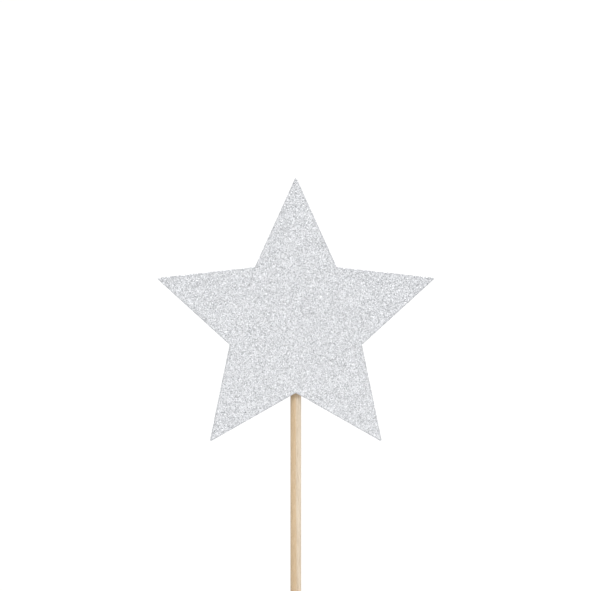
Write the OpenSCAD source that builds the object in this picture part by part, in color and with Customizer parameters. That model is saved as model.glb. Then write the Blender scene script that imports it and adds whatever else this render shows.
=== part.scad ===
// Star cake topper: a die-cut star of glitter card, glued to a round wooden pick.
// The front of the star faces -Y and up is +Z. The pick's axis is the Z axis, and
// the origin lies on it, level with the top of the cake that the pick goes into.

/* [Star] */
// Number of points of the star, odd so that an inner corner is at the bottom
star_points = 5; // [5:2:9]
// Width of the star from side tip to side tip
star_w = 50; // [40:0.5:90]
// Radius of the inner corners as a share of the radius of the sharp tips
waist_share = 0.475; // [0.4:0.005:0.6]
// Radius that the cutting die leaves on each tip
tip_r = 0.2; // [0.05:0.05:0.8]

/* [Glitter card] */
// Thickness of the white paper core
paper_t = 0.3; // [0.15:0.05:1.2]
// Thickness of the clear coat that holds the glitter
binder_t = 0.06; // [0.03:0.01:0.3]
// Thickness of the layer of glitter flakes
glitter_t = 0.1; // [0.05:0.01:0.4]

/* [Pick] */
// Diameter of the round pick
pick_d = 2; // [1.2:0.05:4]
// Length of the pick over both points
pick_len = 65; // [50:0.5:120]
// Length of each sharpened point
point_len = 10.5; // [10:0.1:16]
// Diameter of the blunt end of each point
point_end_d = 0.24; // [0.1:0.02:0.6]
// Length of pick that lies behind the star, up from the star's lowest inner corner
pick_overlap = 9.4; // [9:0.1:12]
// Depth to which the pick goes into the cake
insert_depth = 28; // [15:0.5:35]

/* [Glue] */
// Width of the bead of hot-melt glue on the back of the star
glue_w = 6.4; // [4.6:0.1:7.4]
// Glue over the crown of the pick
glue_cover = 0.45; // [0.2:0.05:1.5]
// Bare pick between the star's lowest inner corner and the bead
glue_setback = 2.4; // [1.6:0.1:2.6]
// Glue beyond the pick's top end
glue_past = 1.5; // [1.2:0.1:4]

/* [Hidden] */

// Facets of the round surfaces
round_fn = 96;
// Straight steps along each sharpened point, and round each tip of the star
point_steps = 12;
tip_steps = 4;
// Overrun of the block that trims the glue
over = 1;

// The star: half the angle from tip to tip, half the angle of a tip, how far a
// tip's arc is centred inside the sharp tip, and where the widest tips stand
half_step = 180 / star_points;
tip_half = atan2(waist_share * sin(half_step), 1 - waist_share * cos(half_step));
tip_inset = tip_r / sin(tip_half);
widest_turn = 2 * half_step * round(star_points / 4);
star_r = (star_w / 2 - tip_r) / sin(widest_turn) + tip_inset;
waist_r = star_r * waist_share;

// Heights: the pick's two ends, the star's lowest inner corner and its middle
low_end_z = -insert_depth;
top_end_z = low_end_z + pick_len;
notch_z = top_end_z - pick_overlap;
star_z = notch_z + waist_r;

// Depths: the card's back touches the front of the pick, and its layers lie on it
pick_r = pick_d / 2;
point_end_r = point_end_d / 2;
card_back_y = -pick_r;
paper_front_y = card_back_y - paper_t;
binder_front_y = paper_front_y - binder_t;

// The bead is a round-backed strip: part of a cylinder, with part of a ball of the
// same radius at each end
glue_h = pick_d + glue_cover;
glue_r = (pow(glue_w / 2, 2) + pow(glue_h, 2)) / (2 * glue_h);
glue_y = card_back_y + glue_h - glue_r;
glue_low_z = notch_z + glue_setback + glue_w / 2;
glue_high_z = top_end_z + glue_past - glue_w / 2;

// A point at radius r and at angle a, measured clockwise from straight up
function polar(r, a) = [r * sin(a), r * cos(a)];

// The rounded tip at angle a
function tip_arc(a) = [
    for (i = [0 : tip_steps])
        let (turn = (90 - tip_half) * (2 * i / tip_steps - 1))
            polar(star_r - tip_inset, a) + polar(tip_r, a + turn)
];

// The whole outline: each tip is followed by the inner corner beside it
star_outline = [
    for (k = [0 : star_points - 1])
        let (a = 2 * k * half_step)
            each concat(tip_arc(a), [polar(waist_r, a + half_step)])
];

// Radius of a sharpened point at share t of its length, from its blunt end. The
// curve is a parabola that runs smoothly into the shank.
function point_radius(t) = pick_r - (pick_r - point_end_r) * pow(1 - t, 2);

// Half of the pick's profile: radius against height
pick_profile = concat(
    [[0, low_end_z]],
    [for (i = [0 : point_steps])
        let (t = i / point_steps) [point_radius(t), low_end_z + point_len * t]],
    [for (i = [point_steps : -1 : 0])
        let (t = i / point_steps) [point_radius(t), top_end_z - point_len * t]],
    [[0, top_end_z]]
);

// A sheet in the shape of the star, from its back face forward by its thickness
module star_sheet(back_y, thick) {
    translate([0, back_y, star_z])
        rotate([90, 0, 0])
            linear_extrude(height = thick)
                polygon(star_outline);
}

// White paper core of the card, which carries the glitter and is glued to the pick
module card_base() {
    color("white")
        star_sheet(card_back_y, paper_t);
}

// Clear coat over the whole front of the paper, in which the flakes sit
module binder_coat() {
    color("whitesmoke")
        star_sheet(paper_front_y, binder_t);
}

// Silver flakes over the whole front
module glitter_layer() {
    color("silver")
        star_sheet(binder_front_y, glitter_t);
}

// The form of the pick, turned about the Z axis
module pick_form() {
    rotate_extrude($fn = round_fn)
        polygon(pick_profile);
}

// Round wooden pick, sharpened at both ends, with its top end behind the star
module pick() {
    color("burlywood")
        pick_form();
}

// Outer form of the bead, before the card and the pick are taken off it
module glue_form() {
    translate([0, glue_y, glue_low_z]) {
        cylinder(h = glue_high_z - glue_low_z, r = glue_r, $fn = round_fn);
        sphere(r = glue_r, $fn = round_fn);
    }
    translate([0, glue_y, glue_high_z])
        sphere(r = glue_r, $fn = round_fn);
}

// Everything in front of the card's back face, as far as the bead would reach
module ahead_of_card() {
    reach = glue_r + over;
    translate([-reach, card_back_y - 2 * reach, glue_low_z - reach])
        cube([2 * reach, 2 * reach, glue_high_z - glue_low_z + 2 * reach]);
}

// Bead of hot-melt glue that holds the pick to the back of the card
module glue_bead() {
    color("ivory")
        difference() {
            glue_form();
            ahead_of_card();
            pick_form();
        }
}

card_base();
binder_coat();
glitter_layer();
pick();
glue_bead();
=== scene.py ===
"""Looks of a star cake topper: glitter flakes in a clear coat on white card, a round wooden pick and the
bead of hot-melt glue that joins them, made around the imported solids. The front faces -Y and up is +Z."""

import math

import bpy
import numpy as np
from bpy.props import FloatProperty, FloatVectorProperty, IntProperty, PointerProperty
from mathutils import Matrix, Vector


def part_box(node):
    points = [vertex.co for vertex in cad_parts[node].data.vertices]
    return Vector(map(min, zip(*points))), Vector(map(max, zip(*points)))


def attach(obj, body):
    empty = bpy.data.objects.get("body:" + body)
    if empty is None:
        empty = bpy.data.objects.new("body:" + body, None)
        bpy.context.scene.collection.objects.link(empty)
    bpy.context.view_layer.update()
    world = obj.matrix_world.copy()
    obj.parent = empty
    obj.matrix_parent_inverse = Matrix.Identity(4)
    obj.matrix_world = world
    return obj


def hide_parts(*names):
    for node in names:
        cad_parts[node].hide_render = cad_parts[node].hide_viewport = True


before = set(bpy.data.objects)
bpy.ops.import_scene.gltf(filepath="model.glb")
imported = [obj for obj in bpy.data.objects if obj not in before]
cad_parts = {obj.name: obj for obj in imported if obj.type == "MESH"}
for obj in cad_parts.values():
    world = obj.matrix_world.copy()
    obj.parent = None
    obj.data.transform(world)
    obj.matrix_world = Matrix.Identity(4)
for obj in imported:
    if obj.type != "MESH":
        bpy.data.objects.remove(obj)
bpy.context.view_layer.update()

bl_info = {
    "name": "Star cake topper",
    "version": (1, 0, 0),
    "blender": (4, 5, 0),
    "location": "3D View > Sidebar > Topper",
    "description": "Makes a glitter star cake topper on a wooden pick, in the solids' own frame",
    "category": "Object",
}

MM = 0.001

# The solids that the pieces stand for: lowest and highest corner of each
CARD_LOW, CARD_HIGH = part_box("card_base")
COAT_LOW, COAT_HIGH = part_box("binder_coat")
GLITTER_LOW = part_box("glitter_layer")[0]
PICK_LOW, PICK_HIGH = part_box("pick")
GLUE_LOW, GLUE_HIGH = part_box("glue_bead")

# The photograph: its frame, and the star's width and middle in it, in pixels
PHOTO_WIDTH, PHOTO_HEIGHT = 590, 591
STAR_WIDTH_PX = 276.1
STAR_MIDDLE_PX = (295.8, 323.3)

# Nearest and furthest that the camera sees, in metres
CLIP = (0.01, 10)

# A length too small to divide by
TINY = 1e-9


# Sizes and colours that a user would change

def length(name, description, default):
    """A property that holds a length."""
    return FloatProperty(name=name, description=description, default=default, unit="LENGTH")


def share(name, description, default):
    """A property that holds a share of something."""
    return FloatProperty(name=name, description=description, default=default, subtype="FACTOR")


def angle(name, description, degrees):
    """A property that holds an angle."""
    return FloatProperty(
        name=name, description=description, default=math.radians(degrees), subtype="ANGLE"
    )


def amount(name, description, default):
    """A property that holds an amount of light."""
    return FloatProperty(name=name, description=description, default=default)


def colour(name, description, default):
    """A property that holds a colour."""
    return FloatVectorProperty(
        name=name, description=description, default=default, subtype="COLOR"
    )


class StarSizes(bpy.types.PropertyGroup):
    """Shape of the card star, and the colour of its paper"""

    points: IntProperty(
        name="Points", description="Number of points of the star", default=5, min=3
    )
    width: length("Width", "Width from side tip to side tip", CARD_HIGH.x - CARD_LOW.x)
    waist_share: share("Waist", "Radius of the inner corners over that of the sharp tips", 0.475)
    tip_radius: length("Tip radius", "Radius that the die leaves on each tip", 0.2 * MM)
    cut_radius: length("Cut radius", "How far the die rounds the card's back edge over", 0.05 * MM)
    cockle: length("Cockle", "Height of the card's gentle unevenness", 0.012 * MM)
    paper_colour: colour("Paper", "Colour of the card's bare back", (0.88, 0.875, 0.855))


class GlitterLook(bpy.types.PropertyGroup):
    """Sizes, tilts and colours of the flakes"""

    spacing: length("Spacing", "Distance between neighbouring flakes of one layer", 0.265 * MM)
    flake_size: length("Flake size", "Usual size of a flake across its corners", 0.19 * MM)
    size_spread: share("Size spread", "Spread of the flakes' sizes, as a share", 0.18)
    upper_tilt: angle("Upper tilt", "Usual tilt of the upper flakes", 7)
    lower_tilt: angle("Lower tilt", "Usual tilt of the lower flakes", 5)
    loose_tilt: angle("Loose tilt", "Usual tilt of the few flakes that stand out", 17)
    loose_share: share("Loose flakes", "Share of flakes that stand out", 0.04)
    crushed: length(
        "Crushed edge", "Width of the rim where the die has flattened and dulled the flakes",
        0.35 * MM,
    )
    dull_silver: colour("Dull silver", "Colour of the dullest flakes", (0.378, 0.386, 0.402))
    bright_silver: colour(
        "Bright silver", "Colour of the brightest flakes", (0.862, 0.868, 0.886)
    )


class PickLook(bpy.types.PropertyGroup):
    """Shape and wood of the pick"""

    point_length: length("Point length", "Length of each sharpened point", 10.5 * MM)
    end_radius: length("End radius", "Radius of the blunt end of each point", 0.12 * MM)
    grain_depth: length("Grain depth", "Depth of the grooves along the grain", 0.014 * MM)
    tan: colour("Tan", "Darker wood of the pick", (0.535, 0.395, 0.245))
    cream: colour("Cream", "Paler wood of the pick", (0.555, 0.468, 0.355))
    # pale is also painted light along the pick's back, which the lamps reach less
    pale: colour("Pale", "Palest wood, in short glints and along the back", (0.71, 0.61, 0.466))
    # brown over the upper point is painted shade, standing in for the star's shadow below its lower notch
    brown: colour("Brown", "Streaks and vessels, and the points", (0.35, 0.235, 0.13))


class GlueLook(bpy.types.PropertyGroup):
    """Unevenness and colour of the bead of glue"""

    lump_share: share("Lumps", "How uneven the bead is, as a share of its height", 0.10)
    cling: length(
        "Cling", "How thick the glue clings to the pick where it leaves the bead", 0.3 * MM
    )
    cling_length: length(
        "Cling length", "Length over which it thins out along the pick", 1.6 * MM
    )
    colour: colour("Glue", "Colour of the set glue", (1.0, 0.985, 0.93))


class StudioLook(bpy.types.PropertyGroup):
    """Camera, lights and floor"""

    camera_distance: length("Camera distance", "From the lens to the front of the star", 1.0)
    high_sky: amount("Light from above", "Soft light from straight above", 0.41)
    low_sky: amount("Light from below", "Soft light from straight below", 0.13)
    back_sky: amount(
        "Light from behind", "What the white background adds to the soft light", 0.48
    )
    key_power: amount("Key light", "Power of the long light above", 4.4)
    fill_power: amount("Fill light", "Power of the soft light in front", 7.45)
    right_power: amount("Right light", "Power of the soft light on the right", 4.4)
    left_power: amount("Left light", "Power of the soft light on the left", 4.0)
    edge_power: amount("Edge light", "Power of the light straight to the right", 4.2)
    floor_radius: length("Floor radius", "Radius of the pale round floor", 0.2)


GROUPS = {
    "topper_star": StarSizes,
    "topper_glitter": GlitterLook,
    "topper_pick": PickLook,
    "topper_glue": GlueLook,
    "topper_studio": StudioLook,
}


# Shapes that the pieces share

def eased(t):
    """Goes from 0 to 1 as t does, level at both ends: 3t^2 - 2t^3."""
    return t * t * (3 - 2 * t)


def soft_noise(u, v, cells, seed):
    """Smooth random values from -1 to 1 at places (u, v), counted in cells: a table of random numbers,
    which repeats past its edges, is blended between neighbours with an eased weight."""
    table = np.random.default_rng(seed).uniform(-1, 1, cells)
    low_u, low_v = np.floor(u).astype(int), np.floor(v).astype(int)
    t, s = eased(u - low_u), eased(v - low_v)
    rows, columns = cells
    u0, u1, v0, v1 = low_u % rows, (low_u + 1) % rows, low_v % columns, (low_v + 1) % columns
    near = table[u0, v0] * (1 - s) + table[u0, v1] * s
    far = table[u1, v0] * (1 - s) + table[u1, v1] * s
    return near * (1 - t) + far * t


def layered_noise(x, z, layers):
    """Sum of soft noise over layers, each given as (width of a cell, its height, cells in the table,
    seed, share)."""
    return sum(part * soft_noise(x / wide, z / high, cells, seed)
               for wide, high, cells, seed, part in layers)


def most_noise(layers):
    """The most that layers of noise can add up to: the sum of their shares."""
    return sum(layer[-1] for layer in layers)


class StarForm:
    """The star's outline. Within half a step of a tip, a is the distance along the tip's axis and b the
    distance from it. The edge is the line from the sharp tip (r, 0) to the inner corner
    w r (cos h, sin h), where h is half a step and w the waist's share, and each tip is rounded by an
    arc about (c, 0)."""

    def __init__(self, sizes):
        self.points = sizes.points
        self.half_step = math.pi / sizes.points
        w = sizes.waist_share
        self.tip_half = math.atan2(
            w * math.sin(self.half_step), 1 - w * math.cos(self.half_step)
        )
        self.tip_radius = sizes.tip_radius
        inset = self.tip_radius / math.sin(self.tip_half)
        widest = 2 * self.half_step * round(self.points / 4)
        self.radius = (sizes.width / 2 - self.tip_radius) / math.sin(widest) + inset
        self.waist = self.radius * w
        self.arc_centre = self.radius - inset
        self.middle_z = CARD_HIGH.z - self.arc_centre - self.tip_radius

    def outline(self, edge_steps, arc_steps):
        """Points (x, z) about the star's middle, anticlockwise seen from the front: for each tip the half
        outline (a, b), then (a, -b), turned by the tip's angle."""
        turn = np.linspace(0, math.pi / 2 - self.tip_half, arc_steps + 1)
        arc_a = self.arc_centre + self.tip_radius * np.cos(turn)
        arc_b = self.tip_radius * np.sin(turn)
        t = np.linspace(0, 1, edge_steps + 1)[1:]
        corner_a = self.waist * math.cos(self.half_step)
        corner_b = self.waist * math.sin(self.half_step)
        a = np.r_[arc_a, arc_a[-1] + (corner_a - arc_a[-1]) * t]
        b = np.r_[arc_b, arc_b[-1] + (corner_b - arc_b[-1]) * t]
        a, b = np.r_[a[:0:-1], a[:-1]], np.r_[-b[:0:-1], b[:-1]]
        tip = 2 * self.half_step * np.arange(self.points)[:, None]
        x = a * np.sin(tip) + b * np.cos(tip)
        z = a * np.cos(tip) - b * np.sin(tip)
        return np.stack([x.ravel(), z.ravel()], axis=1)[::-1]

    def folded(self, x, z):
        """Each point's nearest tip, its side of the tip's axis, and its a and b, with b never
        negative."""
        around = np.arctan2(x, z)
        tip = 2 * self.half_step * np.round(around / (2 * self.half_step))
        a = np.hypot(x, z) * np.cos(around - tip)
        b = np.hypot(x, z) * np.sin(around - tip)
        return tip, np.sign(b), a, np.abs(b)

    def past_edge(self, a, b):
        """Distance of (a, b) past the line of the edge, negative inside."""
        return (a - self.radius) * math.sin(self.tip_half) + b * math.cos(self.tip_half)

    def outside(self, x, z):
        """Distance past the outline's edges, negative inside."""
        _, _, a, b = self.folded(x, z)
        return self.past_edge(a, b)

    def clipped(self, x, z):
        """Moves each point that lies past the outline straight back onto it."""
        tip, side, a, b = self.folded(x, z)
        past = np.maximum(self.past_edge(a, b), 0)
        a = a - past * math.sin(self.tip_half)
        b = np.maximum(b - past * math.cos(self.tip_half), 0)
        reach = np.hypot(a - self.arc_centre, b)
        on_arc = (a > self.arc_centre + self.tip_radius * math.sin(self.tip_half)) & (
            reach > self.tip_radius
        )
        pull = np.where(on_arc, self.tip_radius / np.maximum(reach, TINY), 1)
        a, b = self.arc_centre + (a - self.arc_centre) * pull, side * b * pull
        return (
            a * np.sin(tip) + b * np.cos(tip),
            a * np.cos(tip) - b * np.sin(tip),
        )

    def placed(self, x, y, z):
        """Points at depth y, whose x and z are counted from the star's middle."""
        return np.stack([x, y, self.middle_z + z], axis=-1)


def put_in_scene(name, vertices, faces, materials, smooth=True):
    """Makes a mesh object at the origin and sets each face smooth or flat."""
    mesh = bpy.data.meshes.new(name)
    mesh.from_pydata(vertices.tolist(), [], faces)
    mesh.polygons.foreach_set("use_smooth", np.full(len(mesh.polygons), smooth))
    for material in materials:
        mesh.materials.append(material)
    mesh.update()
    piece = bpy.data.objects.new(name, mesh)
    bpy.context.scene.collection.objects.link(piece)
    return piece


def closed_skin(name, rings, first_pole, last_pole, materials):
    """A closed surface through rings of points, an array (rings, points round, 3). Point j of ring i is
    joined to point j + 1 and to ring i + 1 by a four-sided face, and each end is closed by a fan of
    triangles to its pole."""
    count, around = rings.shape[:2]
    here = np.arange(around)
    after = np.roll(here, -1)
    start = (np.arange(count - 1) * around)[:, None]
    quads = np.stack(
        [start + here, start + after, start + after + around, start + here + around], axis=-1
    ).reshape(-1, 4)
    poles = count * around
    last = (count - 1) * around
    first_fan = np.stack([after, here, np.full(around, poles)], axis=1)
    last_fan = np.stack([last + here, last + after, np.full(around, poles + 1)], axis=1)
    vertices = np.vstack([rings.reshape(-1, 3), [first_pole, last_pole]])
    faces = quads.tolist() + first_fan.tolist() + last_fan.tolist()
    return put_in_scene(name, vertices, faces, materials)


# The card

# Steps of its outline along each edge and round each tip
CARD_STEPS = {"edge_steps": 36, "arc_steps": 5}
# Rings on the back, with the share of the outline where they start, and over each rounded edge
CARD_BACK_RINGS, CARD_FIRST_SHARE, CARD_EDGE_RINGS = 59, 0.02, 6
# How many rings of the back go to one of the front, which the coat hides
CARD_THINNING = 6
# Rounding of the front edge, over that of the back
CARD_FRONT_SHARE = 0.5
# Unevenness of the back, as layers of noise
CARD_LAYERS = (
    (4 * MM, 4 * MM, (16, 16), 11, 1.0),
    (0.9 * MM, 0.9 * MM, (64, 64), 12, 0.5),
)


def card_rings(form, sizes):
    """The card: flat from the middle of the back out to the rounded cut edge, over it, and back in at
    the front. Over an edge of radius r, the rings at angle q lie r (1 - sin q) in from the outline and
    r (1 - cos q) from the face. The back sinks below its solid's by the cockle times noise."""
    outline = form.outline(**CARD_STEPS)
    reach = np.hypot(*outline.T)
    r, front_r = sizes.cut_radius, CARD_FRONT_SHARE * sizes.cut_radius
    back_y, front_y = CARD_HIGH.y, CARD_LOW.y
    turn = np.linspace(0, math.pi / 2, CARD_EDGE_RINGS)
    inset = np.r_[r * (1 - np.sin(turn)), front_r * (1 - np.cos(turn))]
    depth = np.r_[back_y - r * (1 - np.cos(turn)), front_y + front_r * (1 - np.sin(turn))]
    flat = np.linspace(CARD_FIRST_SHARE, 1, CARD_BACK_RINGS + 1)[:-1]
    inner = flat[:, None] * np.ones(len(outline))
    rim = 1 - inset[:, None] / reach
    shares = np.vstack([inner * (1 - r / reach), rim, inner[::-CARD_THINNING] * rim[-1]])
    x, z = shares * outline[:, 0], shares * outline[:, 1]
    uneven = layered_noise(x, z, CARD_LAYERS) - most_noise(CARD_LAYERS)
    y = back_y + sizes.cockle * uneven
    y[len(flat) : len(flat) + len(depth)] = depth[:, None]
    y[len(flat) + len(depth) :] = front_y
    return form.placed(x, y, z), len(flat), len(depth)


# The clear coat

# Steps of its outline along each edge and round each tip
COAT_STEPS = {"edge_steps": 44, "arc_steps": 4}
# Rings on the back and on the front, and the share of the outline at the innermost of each
COAT_BACK_RINGS, COAT_BACK_SHARE = 6, 0.05
COAT_FRONT_RINGS, COAT_FRONT_SHARE = 90, 0.012
# Lumps of the front: their height, how far they are sunk as a share of it, and layers of noise
LUMP_HEIGHT, LUMP_SINK = 0.012 * MM, 0.4
COAT_LAYERS = (
    (0.5 * MM, 0.5 * MM, (128, 128), 21, 1.0),
    (0.2 * MM, 0.2 * MM, (256, 256), 22, 0.6),
)


def coat_rings(form):
    """The clear coat: flat against the paper, and lumpy where the flakes sit in it. The front lies back
    from its solid's by the lumps' height times the sum of the noise and how far the lumps are sunk."""
    outline = form.outline(**COAT_STEPS)
    shares = np.r_[
        np.linspace(COAT_BACK_SHARE, 1, COAT_BACK_RINGS),
        np.linspace(1, COAT_FRONT_SHARE, COAT_FRONT_RINGS),
    ]
    x, z = shares[:, None] * outline[:, 0], shares[:, None] * outline[:, 1]
    y = COAT_LOW.y + LUMP_HEIGHT * (layered_noise(x, z, COAT_LAYERS) + LUMP_SINK)
    y[:COAT_BACK_RINGS] = COAT_HIGH.y
    return form.placed(x, y, z)


# The flakes

# The layers, from the paper outwards: name, least and most that a flake's foremost corner lies behind
# the solid's front, and seed
FLAKE_LAYERS = (
    ("flakes_lower", (0.055 * MM, 0.075 * MM), 51),
    ("flakes_middle", (0.03 * MM, 0.05 * MM), 52),
    ("flakes_upper", (0.0, 0.025 * MM), 53),
)
# Distance between rows of the lattice, as a share of the spacing
ROW_SHARE = math.sqrt(0.75)
# Least distance from a flake's middle to the cut edge, as a share of its usual size
EDGE_SHARE = 0.1
# Smallest and largest flake, as shares of the usual one
SIZE_SHARES = (0.5, 1.5)
# Most that a flake leans, in radians, and the most that the chance in its lean comes to
MOST_LEAN, MOST_CHANCE = 1.0, 0.995
# Lean and tone right at the crushed edge, as shares of those inside it
CRUSHED_LEAN, CRUSHED_TONE = 0.3, 0.4
# How far the root lies behind the flake, as a share of its radius
ROOT_SHARE = 0.45
# The two powers of the beta distribution that the tones follow, so that bright flakes are commoner
TONE_POWERS = (1.6, 1.0)
# Corners of a flake, the angle from one to the next, and its points with the root
SIDES = 6
SIXTH = math.pi / 3
FLAKE_POINTS = SIDES + 1
# The map on which each flake has a square of its own, and the flake's radius in that square
TONE_MAP = "OFBake"
SPOT_RADIUS = 0.4


def scattered(rng, form, look):
    """Middles (x, z) of a layer's flakes, on a lattice of triangles, each moved by up to half the
    spacing. Flakes past the outline are left out. Also tells how whole each flake is, from 0 at the cut
    edge to 1 from the crushed rim inwards."""
    step = look.spacing
    reach = form.radius + step
    across, up = np.meshgrid(
        np.arange(-reach, reach, step), np.arange(-reach, reach, step * ROW_SHARE)
    )
    across = across + np.where(np.arange(len(up)) % 2, step / 2, 0)[:, None]
    x, z = (v.ravel() + rng.uniform(-step / 2, step / 2, v.size) for v in (across, up))
    past = form.outside(x, z)
    inside = past < -EDGE_SHARE * look.flake_size
    whole = np.clip(-past[inside] / look.crushed, 0, 1)
    return x[inside], z[inside], whole


def sized(rng, look, count):
    """Radii of flakes: half the usual size times e to the spread times a normal random number."""
    usual = look.flake_size / 2
    radius = usual * np.exp(look.size_spread * rng.standard_normal(count))
    return np.clip(radius, SIZE_SHARES[0] * usual, SIZE_SHARES[1] * usual)


def leaned(rng, look, tilt, whole):
    """How far each flake leans and its unit normal. The lean is t sqrt(-2 ln(1 - c)), where c is chance
    and t the layer's usual tilt, or that of loose flakes, and it is less in the crushed rim. The way it
    leans is by chance."""
    count = len(whole)
    loose = rng.uniform(0, 1, count) < look.loose_share
    usual = np.where(loose, look.loose_tilt, tilt)
    lean = usual * np.sqrt(-2 * np.log(1 - rng.uniform(0, MOST_CHANCE, count)))
    lean = np.minimum(lean, MOST_LEAN) * (CRUSHED_LEAN + (1 - CRUSHED_LEAN) * whole)
    way = rng.uniform(0, 2 * math.pi, count)
    normal = np.stack(
        [np.sin(lean) * np.cos(way), -np.cos(lean), np.sin(lean) * np.sin(way)], axis=1
    )
    return lean, normal


def flake_layer(name, form, look, tilt, depths, seed, material):
    """One layer of flakes. A flake is a flat hexagon p + r (e cos(60 k) + f sin(60 k)) about its middle
    p, turned and leaned by chance, and a root point behind it holds it in the coat. Corners past the
    star's outline are cut back to it. In the crushed rim the flakes lie flatter and are duller."""
    rng = np.random.default_rng(seed)
    x, z, whole = scattered(rng, form, look)
    count = len(x)
    radius = sized(rng, look, count)
    lean, normal = leaned(rng, look, tilt, whole)
    side = np.cross(normal, [0.0, 0.0, 1.0])
    side /= np.linalg.norm(side, axis=1)[:, None]
    rise = np.cross(normal, side)
    depth = depths[0] + rng.uniform(0, 1, count) * (depths[1] - depths[0])
    y = GLITTER_LOW.y + depth + radius * np.sin(lean)
    middle = np.stack([x, y, z], axis=1)

    turn = rng.uniform(0, SIXTH, count)[:, None] + np.arange(SIDES) * SIXTH
    corner = (
        middle[:, None]
        + radius[:, None, None] * np.cos(turn)[..., None] * side[:, None]
        + radius[:, None, None] * np.sin(turn)[..., None] * rise[:, None]
    )
    root = middle - normal * (ROOT_SHARE * radius)[:, None]
    root[:, 1] = np.minimum(root[:, 1], COAT_HIGH.y)
    vertices = np.concatenate([corner, root[:, None]], axis=1).reshape(-1, 3)
    vertices[:, 0], vertices[:, 2] = form.clipped(vertices[:, 0], vertices[:, 2])
    vertices[:, 2] += form.middle_z

    base = (np.arange(count) * FLAKE_POINTS)[:, None]
    here = np.arange(SIDES)
    fronts = base + here
    backs = np.stack(
        [base + (here + 1) % SIDES, base + here, base + np.full(SIDES, SIDES)], axis=-1
    )
    faces = fronts.tolist() + backs.reshape(-1, 3).tolist()
    piece = put_in_scene(name, vertices, faces, [material], smooth=False)

    tone = rng.beta(*TONE_POWERS, count) * (CRUSHED_TONE + (1 - CRUSHED_TONE) * whole)
    for key, values in (("tone", tone), ("gloss", rng.uniform(0, 1, count))):
        values = np.repeat(values, FLAKE_POINTS)
        piece.data.attributes.new(key, "FLOAT", "POINT").data.foreach_set("value", values)
    lay_out_tones(piece, count)
    return piece


def lay_out_tones(piece, count):
    """Gives each flake a square of its own on the tone map, in rows. Its corners lie on a circle in that
    square, and its root in the middle."""
    rows = math.ceil(math.sqrt(count))
    place = np.arange(count)
    square = np.stack([place % rows, place // rows], axis=1)[:, None]
    turn = np.arange(SIDES) * SIXTH
    spots = np.stack([np.cos(turn), np.sin(turn)], axis=1) * SPOT_RADIUS
    spots = np.vstack([spots, [[0.0, 0.0]]])
    spots = ((square + 0.5 + spots) / rows).reshape(-1, 2)
    vertex = np.empty(len(piece.data.loops), np.int32)
    piece.data.loops.foreach_get("vertex_index", vertex)
    layer = piece.data.uv_layers.new(name=TONE_MAP)
    layer.data.foreach_set("uv", spots[vertex].astype(np.float32).ravel())


# The pick

# Points round it, rings on each sharpened point and along the shank
PICK_AROUND, POINT_RINGS, SHANK_RINGS = 120, 70, 260
# Power that crowds a point's rings towards its end
POINT_CROWDING = 1.3
# Layers of noise along the grain, each given as (cells round the pick, cells along it, how many cells it
# wanders sideways, cells in the table along it, seed, share): the wander itself, the grooves, the flats
WANDER_LAYERS = ((3, 5, 0, 64, 31, 0.25),)
GROOVE_LAYERS = ((36, 9, 4, 64, 32, 1.0), (60, 22, 6, 128, 33, 0.6))
FLAT_LAYERS = ((7, 4, 1, 64, 34, 1.0),)
# What grooves, flats and turning marks take off the pick, as shares of the grain's depth
GROOVE_SHARE, FLAT_SHARE, MARK_SHARE = 0.45, 0.5, 0.10
# Length of pick for each radian of the turning marks, and how far up a point they run
MARK_RADIAN, MARKED_SHARE = 0.22 * MM, 0.96
# Least share of the cuts that is left at the thin end of a point
LEAST_CUT = 0.1


def grain(u, v, wander, layers):
    """Sum of soft noise over layers whose cells run along the pick. The share u goes round it and v
    along it, and wander moves the cells sideways."""
    return sum(part * soft_noise(u * around + wander * bend, v * along, (around, table), seed)
               for around, along, bend, table, seed, part in layers)


def pick_rings(look):
    """The pick: radius against height is that of the turned solid, r at the shank and, at share t along a
    point from its end, r - (r - e)(1 - t)^2. Grooves along the grain, slight flats and, on the points,
    the marks of turning are taken off it."""
    radius = PICK_HIGH.x
    low, high, tip = PICK_LOW.z, PICK_HIGH.z, look.point_length
    climb = tip * np.linspace(0, 1, POINT_RINGS) ** POINT_CROWDING
    shank = np.linspace(low + tip, high - tip, SHANK_RINGS)[1:-1]
    z = np.r_[low + climb, shank, high - climb[::-1]]
    t = np.clip(np.minimum(z - low, high - z) / tip, 0, 1)
    usual = radius - (radius - look.end_radius) * (1 - t) ** 2
    u, v = np.meshgrid(np.arange(PICK_AROUND) / PICK_AROUND, (z - low) / (high - low))
    wander = grain(u, v, 0, WANDER_LAYERS)
    grooves = most_noise(GROOVE_LAYERS) - grain(u, v, wander, GROOVE_LAYERS)
    flats = most_noise(FLAT_LAYERS) - grain(u, v, wander, FLAT_LAYERS)
    marks = 1 + np.sin((z - low) / MARK_RADIAN) * (t < MARKED_SHARE)
    cut = look.grain_depth * (
        GROOVE_SHARE * grooves + FLAT_SHARE * flats + MARK_SHARE * marks[:, None]
    )
    r = usual[:, None] - cut * np.clip(usual / radius, LEAST_CUT, 1)[:, None]
    turn = 2 * math.pi * u
    z = np.broadcast_to(z[:, None], r.shape)
    return np.stack([r * np.cos(turn), r * np.sin(turn), z], axis=-1)


# The glue

# Points round the bead, rings on its flat foot and over its crown, and the share where the foot starts
GLUE_AROUND, FOOT_RINGS, CROWN_RINGS, FOOT_FIRST_SHARE = 220, 8, 72, 0.1
# How sharply the rim turns from the bead's straight sides into its round ends
RIM_SHARPNESS = 3
# Waves of the rim: how many, seed, and their depth as a share of the lumps
RIM_WAVES, RIM_SEED, RIM_WAVE_SHARE = 8, 41, 0.6
# Lumps over the crown, as layers of noise
GLUE_LAYERS = (
    (1.9 * MM, 1.6 * MM, (32, 64), 42, 1.0),
    (0.7 * MM, 0.7 * MM, (64, 128), 43, 0.3),
)


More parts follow.
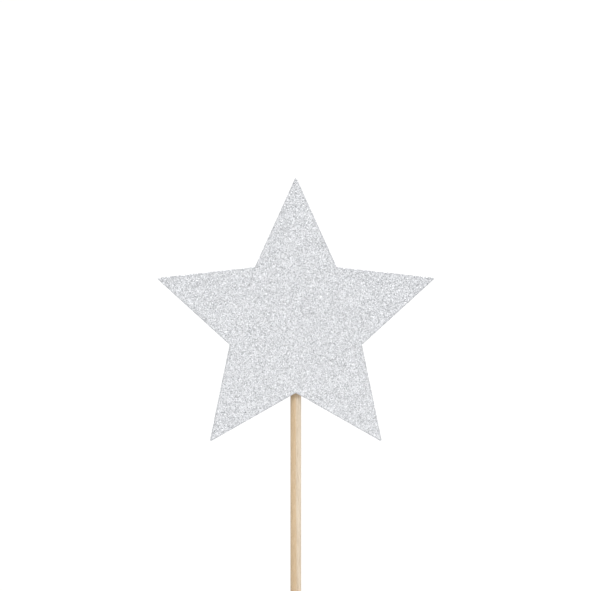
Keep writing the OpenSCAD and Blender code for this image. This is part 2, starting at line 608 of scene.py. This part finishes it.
def smooth_union(first, second, soft):
    """The greater of two heights, rounded by s (1 - |d| / s)^2 / 4 where they differ by d < s."""
    gap = np.clip((first - second) / soft, -1, 1)
    return np.maximum(first, second) + soft * (1 - np.abs(gap)) ** 2 / 4


def glue_rings(look):
    """The bead: rings run from the middle of its flat foot out to its rim and then over its crown. At
    distance d from the middle line, its height over the card is sqrt(q^2 - d^2) - (q - h), where q is the
    radius of the round back and h its full height, times one less some lumps of noise. Where the pick
    leaves it, the glue clings to the wood: over the pick its height is at least
    r + sqrt((r + c)^2 - x^2), where the cling c falls to nothing at the bead's lower end."""
    half = (GLUE_HIGH.x - GLUE_LOW.x) / 2
    foot_y = CARD_HIGH.y
    full = GLUE_HIGH.y - foot_y
    q = (half**2 + full**2) / (2 * full)
    middle = (GLUE_LOW.z + GLUE_HIGH.z) / 2
    straight = (GLUE_HIGH.z - GLUE_LOW.z) / 2 - half

    turns = np.arange(GLUE_AROUND) / GLUE_AROUND
    turn = -2 * math.pi * turns
    uneven = soft_noise(turns * RIM_WAVES, turns * 0, (RIM_WAVES, 2), RIM_SEED)
    wavy = 1 - look.lump_share * RIM_WAVE_SHARE * (uneven - uneven.min())
    rim_x = half * np.cos(turn) * wavy
    rim_z = straight * np.tanh(RIM_SHARPNESS * np.sin(turn)) + half * np.sin(turn) * wavy
    climb = np.linspace(0, math.pi / 2, CROWN_RINGS)
    shares = np.r_[np.linspace(FOOT_FIRST_SHARE, 1, FOOT_RINGS), np.cos(climb)[1:-1]]
    x, z = shares[:, None] * rim_x, middle + shares[:, None] * rim_z

    past = np.maximum(np.abs(z - middle) - straight, 0)
    off_line = np.minimum(np.hypot(x, past) / wavy, half)
    lumps = layered_noise(x, z, GLUE_LAYERS)
    sunk = look.lump_share * (lumps.max() - lumps) / (2 * most_noise(GLUE_LAYERS))
    dome = (np.sqrt(q**2 - off_line**2) - (q - full)) * (1 - sunk)

    radius = PICK_HIGH.x
    up = np.clip((z - GLUE_LOW.z) / look.cling_length, 0, 1)
    reach = radius + look.cling * eased(up)
    over_pick = radius + np.sqrt(np.maximum(reach**2 - x**2, 0))
    over_pick = np.where((np.abs(x) < reach) & (z < middle), over_pick, 0)
    y = foot_y + np.minimum(smooth_union(over_pick, dome, look.cling / 2), full)
    crown = (0, y[-1].mean(), middle)
    y[:FOOT_RINGS] = foot_y
    return np.stack([x, y, z], axis=-1), (0, foot_y, middle), crown


# Materials

def fill(tree, made, inputs):
    """Gives each named input of a node its value or its link."""
    for key, value in inputs.items():
        if isinstance(value, bpy.types.NodeSocket):
            tree.links.new(value, made.inputs[key])
        else:
            made.inputs[key].default_value = value


def node(tree, kind, inputs=None, **settings):
    """Adds a node, sets its settings and fills its inputs."""
    made = tree.nodes.new(kind)
    for key, value in settings.items():
        setattr(made, key, value)
    fill(tree, made, inputs or {})
    return made


def vector_math(tree, operation, inputs, result="Vector"):
    """The outcome of one operation on vectors."""
    made = node(tree, "ShaderNodeVectorMath", inputs, operation=operation)
    return made.outputs[result]


def blend_of(tree, part, first, second):
    """Colour that goes from the first to the second as part goes from 0 to 1."""
    made = node(tree, "ShaderNodeMix", {"Factor": part}, data_type="RGBA")
    colours = [s for s in made.inputs if s.type == "RGBA"]
    for socket, value in zip(colours, (first, second)):
        if isinstance(value, bpy.types.NodeSocket):
            tree.links.new(value, socket)
        else:
            socket.default_value = (*value, 1)
    return next(s for s in made.outputs if s.type == "RGBA")


def remap(tree, value, source, target=(0.0, 1.0)):
    """Moves a value from its source range to the target range, and stops it at the target's ends."""
    made = node(tree, "ShaderNodeMapRange", {
        "Value": value, "From Min": source[0], "From Max": source[1],
        "To Min": target[0], "To Max": target[1],
    })
    return made.outputs["Result"]


def noise(tree, place, scale, detail=3.0, rough=0.5):
    """Cloudy values about 0.5, whose scale is their number of clouds to a millimetre."""
    made = node(tree, "ShaderNodeTexNoise", {
        "Vector": place, "Scale": scale, "Detail": detail, "Roughness": rough,
    })
    return made.outputs["Fac"]


def stretched(tree, place, scale, turn=(0.0, 0.0, 0.0)):
    """Coordinates scaled and then turned. A pattern on them is squeezed along an axis whose scale is
    large and drawn out along one whose scale is small, and the turn takes another part of it."""
    made = node(tree, "ShaderNodeMapping", {"Vector": place, "Scale": scale, "Rotation": turn})
    return made.outputs["Vector"]


def drawn_out(tree, place, scale):
    """Coordinates on which a pattern is drawn out along the pick."""
    return stretched(tree, place, (1, 1, scale))


def new_material(name):
    """A material with one Principled shader, and the object's own coordinates in millimetres."""
    made = bpy.data.materials.new(name)
    made.use_nodes = True
    tree = made.node_tree
    tree.nodes.clear()
    shader = node(tree, "ShaderNodeBsdfPrincipled")
    node(tree, "ShaderNodeOutputMaterial", {"Surface": shader.outputs["BSDF"]})
    here = node(tree, "ShaderNodeTexCoord").outputs["Object"]
    return made, tree, shader, stretched(tree, here, (1 / MM,) * 3)


def bump(tree, height, depth, strength):
    """The normal of a surface whose height, from 0 to 1, stands for so much depth."""
    made = node(tree, "ShaderNodeBump", {
        "Height": height, "Distance": depth, "Strength": strength,
    })
    return made.outputs["Normal"]


def toned(shade, factor):
    """A colour made darker or brighter by a factor, and no brighter than white."""
    return tuple(min(1.0, part * factor) for part in shade)


def paper_finish(sizes):
    """White card: a faint mottle, a web of pale and grey fibres, and a fine tooth."""
    made, tree, shader, place = new_material("white_card")
    white = sizes.paper_colour
    grey, bright = toned(white, 0.955), toned(white, 1.04)
    mottle = noise(tree, place, scale=0.7, detail=5.0, rough=0.6)
    level = stretched(tree, place, scale=(1, 1, 9), turn=(0, 0.5, 0))
    upright = stretched(tree, place, scale=(9, 1, 1), turn=(0, 0.9, 0))
    pale_fibres = noise(tree, level, scale=1.6, detail=4.0)
    grey_fibres = noise(tree, upright, scale=1.4, detail=4.0)
    paper = blend_of(tree, remap(tree, mottle, (0.35, 0.65)), grey, white)
    paper = blend_of(tree, remap(tree, pale_fibres, (0.6, 0.75)), paper, bright)
    paper = blend_of(tree, remap(tree, grey_fibres, (0.62, 0.78), (0.0, 0.6)), paper, grey)
    tooth = noise(tree, place, scale=11.0, detail=3.0, rough=0.6)
    fill(tree, shader, {
        "Base Color": paper,
        "Roughness": remap(tree, mottle, (0.3, 0.7), (0.82, 0.95)),
        "Normal": bump(tree, tooth, depth=0.012 * MM, strength=0.7),
    })
    return made


def cut_finish(sizes):
    """The die-cut edge: the paper's layers as fine lines along it, a little greyer than the back."""
    made, tree, shader, place = new_material("cut_card")
    squeezed = stretched(tree, place, scale=(1.2, 26, 1.2))
    layers = noise(tree, squeezed, scale=1.0, detail=4.0, rough=0.6)
    grey, pale = toned(sizes.paper_colour, 0.62), toned(sizes.paper_colour, 0.9)
    fill(tree, shader, {
        "Base Color": blend_of(tree, remap(tree, layers, (0.35, 0.65)), grey, pale),
        "Roughness": 0.95,
        "Normal": bump(tree, layers, depth=0.02 * MM, strength=0.8),
    })
    return made


def flake_finish(look):
    """Metal-coated flakes. Each has a tone between dull and bright silver, and its own roughness."""
    made, tree, shader, _ = new_material("silver_flakes")
    tone = node(tree, "ShaderNodeAttribute", attribute_name="tone").outputs["Fac"]
    gloss = node(tree, "ShaderNodeAttribute", attribute_name="gloss").outputs["Fac"]
    fill(tree, shader, {
        "Base Color": blend_of(tree, tone, look.dull_silver, look.bright_silver),
        "Metallic": 0.9,
        "Roughness": remap(tree, gloss, (0, 1), (0.43, 0.59)),
    })
    return made


def coat_finish(look):
    """The clear coat with the smallest flakes in it: each cell of a Voronoi pattern has its own tone and
    leans its own way."""
    made, tree, shader, place = new_material("glitter_coat")
    cells = node(tree, "ShaderNodeTexVoronoi", {"Vector": place, "Scale": 6.5}).outputs["Color"]
    chance = node(tree, "ShaderNodeSeparateColor", {"Color": cells}).outputs
    straight = node(tree, "ShaderNodeNewGeometry").outputs["Normal"]
    away = vector_math(tree, "SUBTRACT", {0: cells, 1: (0.5, 0.5, 0.5)})
    lean = vector_math(tree, "SCALE", {0: away, "Scale": 0.5})
    leaned = vector_math(tree, "ADD", {0: straight, 1: lean})
    fill(tree, shader, {
        "Base Color": blend_of(tree, chance["Red"], look.dull_silver, look.bright_silver),
        "Metallic": 0.8,
        "Roughness": remap(tree, chance["Green"], (0, 1), (0.3, 0.5)),
        "Normal": vector_math(tree, "NORMALIZE", {0: leaned}),
    })
    return made


def wood_finish(look):
    """Bare pale wood: tan on the pick's left side and cream on its right, meeting along a wandering line,
    with fine brown streaks, short pale glints and short dark vessels on them. Painted light makes the wood
    paler along the back, which the lamps reach less. It is browner on the lower point, paling slowly above
    it, and browner at once from where the upper point starts: painted shade, standing in for the star's
    shadow on the pick just below its lower notch."""
    made, tree, shader, place = new_material("pick_wood")
    xyz = node(tree, "ShaderNodeSeparateXYZ", {"Vector": place}).outputs
    wander = noise(tree, drawn_out(tree, place, 0.02), scale=1.3, detail=2.0)
    side = node(tree, "ShaderNodeMath", {0: wander, 1: 1.1, 2: xyz["X"]}, operation="MULTIPLY_ADD")
    fine = noise(tree, drawn_out(tree, place, 0.04), scale=7.0, detail=5.0, rough=0.65)
    vessels = noise(tree, drawn_out(tree, place, 0.07), scale=13.0, detail=2.0, rough=0.5)
    glints = noise(tree, drawn_out(tree, place, 0.12), scale=9.0, detail=3.0, rough=0.6)
    low, high = PICK_LOW.z / MM, PICK_HIGH.z / MM
    tip = look.point_length / MM

    # tan on the left (-X) side, cream on the right (+X), meeting along a wandering line
    cream_side = remap(tree, side.outputs["Value"], (0.35, 0.85))
    wood = blend_of(tree, cream_side, look.tan, look.cream)
    # Each row lays a shade over the wood: by which value, its range, and how much at either end of it
    for value, source, target, shade in (
        # painted light: paler towards the back, which the lamps reach less
        (xyz["Y"], (0.1, 0.75), (0.0, 0.75), look.pale),
        (fine, (0.42, 0.72), (0.0, 0.5), look.brown),
        (glints, (0.56, 0.72), (0.0, 0.4), look.pale),
        (vessels, (0.6, 0.7), (0.0, 0.6), look.brown),
        (xyz["Z"], (low + tip, low + 3.2 * tip), (0.35, 0.0), look.brown),
        # painted shade: browner from the start of the upper point upwards, for the star's shadow just
        # below its lower notch
        (xyz["Z"], (high - tip, high - 0.96 * tip), (0.0, 0.42), look.brown),
    ):
        wood = blend_of(tree, remap(tree, value, source, target), wood, shade)
    fibres = noise(tree, drawn_out(tree, place, 0.04), scale=16.0, detail=4.0, rough=0.65)
    fill(tree, shader, {
        "Base Color": wood,
        "Roughness": remap(tree, fine, (0.3, 0.7), (0.42, 0.62)),
        "Normal": bump(tree, fibres, depth=0.04 * MM, strength=0.8),
    })
    return made


def glue_finish(look):
    """Set hot-melt glue: milky, cloudy and glossy, with a few pale bubbles."""
    made, tree, shader, place = new_material("set_glue")
    cloud = noise(tree, place, scale=0.9, detail=3.0)
    cells = node(tree, "ShaderNodeTexVoronoi", {"Vector": place, "Scale": 1.7})
    bubbles = remap(tree, cells.outputs["Distance"], (0.08, 0.13), (0.35, 0.0))
    clouded = remap(tree, cloud, (0.35, 0.65))
    milk = blend_of(tree, clouded, look.colour, toned(look.colour, 0.93))
    milk = blend_of(tree, bubbles, milk, (1.0, 1.0, 1.0))
    waves = noise(tree, place, scale=2.2, detail=2.0)
    fill(tree, shader, {
        "Base Color": milk,
        "Roughness": remap(tree, cloud, (0.3, 0.7), (0.12, 0.24)),
        "IOR": 1.48,
        "Transmission Weight": 0.22,
        "Subsurface Weight": 0.8,
        "Subsurface Radius": (1.0, 0.95, 0.85),
        "Subsurface Scale": 1.2 * MM,
        "Normal": bump(tree, waves, depth=0.04 * MM, strength=0.4),
    })
    return made


def floor_finish(radius):
    """Pale matt floor that fades away towards its rim."""
    made, tree, shader, place = new_material("pale_floor")
    flat = vector_math(tree, "MULTIPLY", {0: place, 1: (1, 1, 0)})
    far = vector_math(tree, "LENGTH", {0: flat}, result="Value")
    reach = radius / MM
    fill(tree, shader, {
        "Base Color": (0.76, 0.76, 0.76, 1),
        "Roughness": 0.9,
        "Alpha": remap(tree, far, (0.2 * reach, 0.98 * reach), (1.0, 0.0)),
    })
    return made


# The studio

# The soft lights: name, place, and width and height, in metres. Their powers are properties of the
# studio, under the same names.
LIGHTS = (
    ("key", (0.0, -0.33, 0.61), (0.75, 0.12)),
    ("fill", (0.12, -1.3, 0.2), (1.4, 1.4)),
    ("right", (1.1, -0.5, 0.15), (1.1, 1.1)),
    ("left", (-1.1, -0.5, 0.15), (1.1, 1.1)),
    ("edge", (1.1, 0.1, 0.1), (0.6, 0.6)),
)
# Colour of the soft light, and colour and strength of the background that the camera sees
SKY_COLOUR = (0.97, 0.985, 1.0, 1)
SEEN_COLOUR, SEEN_STRENGTH = (1, 1, 1, 1), 1.06
# How far a direction points backwards where the light from behind starts and where it is full
BEHIND = (0.0, 0.4)


def lay_floor(look):
    """A flat square sheet under the pick's lower end, which holds the round floor."""
    r = look.floor_radius
    corners = np.array([[-r, -r, 0], [r, -r, 0], [r, r, 0], [-r, r, 0]]) + (0, 0, PICK_LOW.z)
    put_in_scene("floor", corners, [(0, 1, 2, 3)], [floor_finish(r)])


def light_sky(look):
    """White to the camera. To everything else a soft light from all sides, stronger from above than from
    below, to which the white background adds light from behind."""
    world = bpy.data.worlds.new("studio")
    world.use_nodes = True
    tree = world.node_tree
    tree.nodes.clear()
    toward = node(tree, "ShaderNodeTexCoord").outputs["Generated"]
    way = node(tree, "ShaderNodeSeparateXYZ", {"Vector": toward}).outputs
    around = remap(tree, way["Z"], (-1, 1), (look.low_sky, look.high_sky))
    behind = remap(tree, way["Y"], BEHIND, (0.0, look.back_sky))
    strength = node(tree, "ShaderNodeMath", {0: around, 1: behind}).outputs["Value"]
    lit = node(tree, "ShaderNodeBackground", {"Color": SKY_COLOUR, "Strength": strength})
    seen = node(tree, "ShaderNodeBackground", {"Color": SEEN_COLOUR, "Strength": SEEN_STRENGTH})
    straight = node(tree, "ShaderNodeLightPath").outputs["Is Camera Ray"]
    both = node(tree, "ShaderNodeMixShader", {
        0: straight, 1: lit.outputs["Background"], 2: seen.outputs["Background"],
    })
    node(tree, "ShaderNodeOutputWorld", {"Surface": both.outputs["Shader"]})
    bpy.context.scene.world = world


def soft_light(name, place, aim, sides, power):
    """A soft light, so wide and so high, that faces the star and isn't seen itself."""
    data = bpy.data.lights.new(name, "AREA")
    data.shape, data.energy = "RECTANGLE", power
    data.size, data.size_y = sides
    lamp = bpy.data.objects.new(name, data)
    lamp.location = place
    away = Vector(place) - Vector(aim)
    lamp.rotation_euler = away.to_track_quat("Z", "Y").to_euler()
    lamp.visible_camera = False
    bpy.context.scene.collection.objects.link(lamp)


# Operators, one for each piece or group of like pieces

class TOPPER_OT_camera(bpy.types.Operator):
    """Place the camera as the photograph was taken, straight at the star's front"""

    bl_idname = "topper.camera"
    bl_label = "Camera"

    def execute(self, context):
        form = StarForm(context.scene.topper_star)
        per_pixel = context.scene.topper_star.width / STAR_WIDTH_PX
        distance = context.scene.topper_studio.camera_distance
        data = bpy.data.cameras.new("camera")
        data.lens = data.sensor_width * distance / (PHOTO_HEIGHT * per_pixel)
        data.clip_start, data.clip_end = CLIP
        camera = bpy.data.objects.new("camera", data)
        camera.location = (
            (PHOTO_WIDTH / 2 - STAR_MIDDLE_PX[0]) * per_pixel,
            GLITTER_LOW.y - distance,
            form.middle_z - (PHOTO_HEIGHT / 2 - STAR_MIDDLE_PX[1]) * per_pixel,
        )
        camera.rotation_euler = (math.pi / 2, 0, 0)
        context.scene.collection.objects.link(camera)
        context.scene.camera = camera
        return {"FINISHED"}


class TOPPER_OT_card(bpy.types.Operator):
    """Make the white card with its rounded cut edge"""

    bl_idname = "topper.card"
    bl_label = "Card"

    def execute(self, context):
        sizes = context.scene.topper_star
        form = StarForm(sizes)
        rings, flat, edge = card_rings(form, sizes)
        back = (0, CARD_HIGH.y - sizes.cockle, form.middle_z)
        front = (0, CARD_LOW.y, form.middle_z)
        finishes = [paper_finish(sizes), cut_finish(sizes)]
        piece = closed_skin("card_star", rings, back, front, finishes)
        around = rings.shape[1]
        slots = np.zeros(len(piece.data.polygons), np.int32)
        slots[(flat + 1) * around : (flat + edge - 1) * around] = 1
        piece.data.polygons.foreach_set("material_index", slots)
        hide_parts("card_base")
        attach(piece, "root")
        return {"FINISHED"}


class TOPPER_OT_coat(bpy.types.Operator):
    """Make the lumpy clear coat that holds the glitter"""

    bl_idname = "topper.coat"
    bl_label = "Coat"

    def execute(self, context):
        form = StarForm(context.scene.topper_star)
        rings = coat_rings(form)
        back = (0, COAT_HIGH.y, form.middle_z)
        front = (0, COAT_LOW.y, form.middle_z)
        finish = coat_finish(context.scene.topper_glitter)
        piece = closed_skin("glitter_coat", rings, back, front, [finish])
        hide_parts("binder_coat")
        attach(piece, "root")
        return {"FINISHED"}


class TOPPER_OT_glitter(bpy.types.Operator):
    """Scatter the three layers of flakes"""

    bl_idname = "topper.glitter"
    bl_label = "Glitter"

    def execute(self, context):
        look = context.scene.topper_glitter
        form = StarForm(context.scene.topper_star)
        finish = flake_finish(look)
        tilts = (look.lower_tilt, (look.lower_tilt + look.upper_tilt) / 2, look.upper_tilt)
        for (name, depths, seed), tilt in zip(FLAKE_LAYERS, tilts):
            piece = flake_layer(name, form, look, tilt, depths, seed, finish)
            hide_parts("glitter_layer")
            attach(piece, "root")
        return {"FINISHED"}


class TOPPER_OT_pick(bpy.types.Operator):
    """Turn the wooden pick with its grain and two sharpened points"""

    bl_idname = "topper.pick"
    bl_label = "Pick"

    def execute(self, context):
        look = context.scene.topper_pick
        ends = (0, 0, PICK_LOW.z), (0, 0, PICK_HIGH.z)
        piece = closed_skin("wood_pick", pick_rings(look), *ends, [wood_finish(look)])
        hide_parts("pick")
        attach(piece, "root")
        return {"FINISHED"}


class TOPPER_OT_glue(bpy.types.Operator):
    """Make the bead of hot-melt glue on the back"""

    bl_idname = "topper.glue"
    bl_label = "Glue"

    def execute(self, context):
        look = context.scene.topper_glue
        rings, foot, crown = glue_rings(look)
        piece = closed_skin("glue_blob", rings, foot, crown, [glue_finish(look)])
        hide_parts("glue_bead")
        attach(piece, "root")
        return {"FINISHED"}


class TOPPER_OT_studio(bpy.types.Operator):
    """Lay the pale floor and set the white background and the soft lights"""

    bl_idname = "topper.studio"
    bl_label = "Studio"

    def execute(self, context):
        look = context.scene.topper_studio
        lay_floor(look)
        light_sky(look)
        aim = (0, 0, (CARD_LOW.z + CARD_HIGH.z) / 2)
        for name, place, sides in LIGHTS:
            soft_light(name, place, aim, sides, getattr(look, name + "_power"))
        context.scene.view_settings.view_transform = "Standard"
        return {"FINISHED"}


class TOPPER_PT_sidebar(bpy.types.Panel):
    """Lists the topper's sizes, colours and pieces"""

    bl_idname = "TOPPER_PT_sidebar"
    bl_label = "Star cake topper"
    bl_space_type = "VIEW_3D"
    bl_region_type = "UI"
    bl_category = "Topper"

    def draw(self, context):
        for key, group in GROUPS.items():
            box = self.layout.box()
            for name in group.__annotations__:
                box.prop(getattr(context.scene, key), name)
        for step in STEPS:
            self.layout.operator(step.bl_idname)


STEPS = (
    TOPPER_OT_camera,
    TOPPER_OT_card,
    TOPPER_OT_coat,
    TOPPER_OT_glitter,
    TOPPER_OT_pick,
    TOPPER_OT_glue,
    TOPPER_OT_studio,
)


def register():
    """Registers the classes and gives the scene its groups of sizes and colours."""
    for group in (*GROUPS.values(), *STEPS, TOPPER_PT_sidebar):
        bpy.utils.register_class(group)
    for key, group in GROUPS.items():
        setattr(bpy.types.Scene, key, PointerProperty(type=group))


def unregister():
    """Takes away what register has added."""
    for key in GROUPS:
        delattr(bpy.types.Scene, key)
    for group in (TOPPER_PT_sidebar, *STEPS, *GROUPS.values()):
        bpy.utils.unregister_class(group)


def main():
    """Makes every piece and the studio."""
    register()
    for step in STEPS:
        group, name = step.bl_idname.split(".")
        getattr(getattr(bpy.ops, group), name)()


if __name__ == "__main__":
    main()
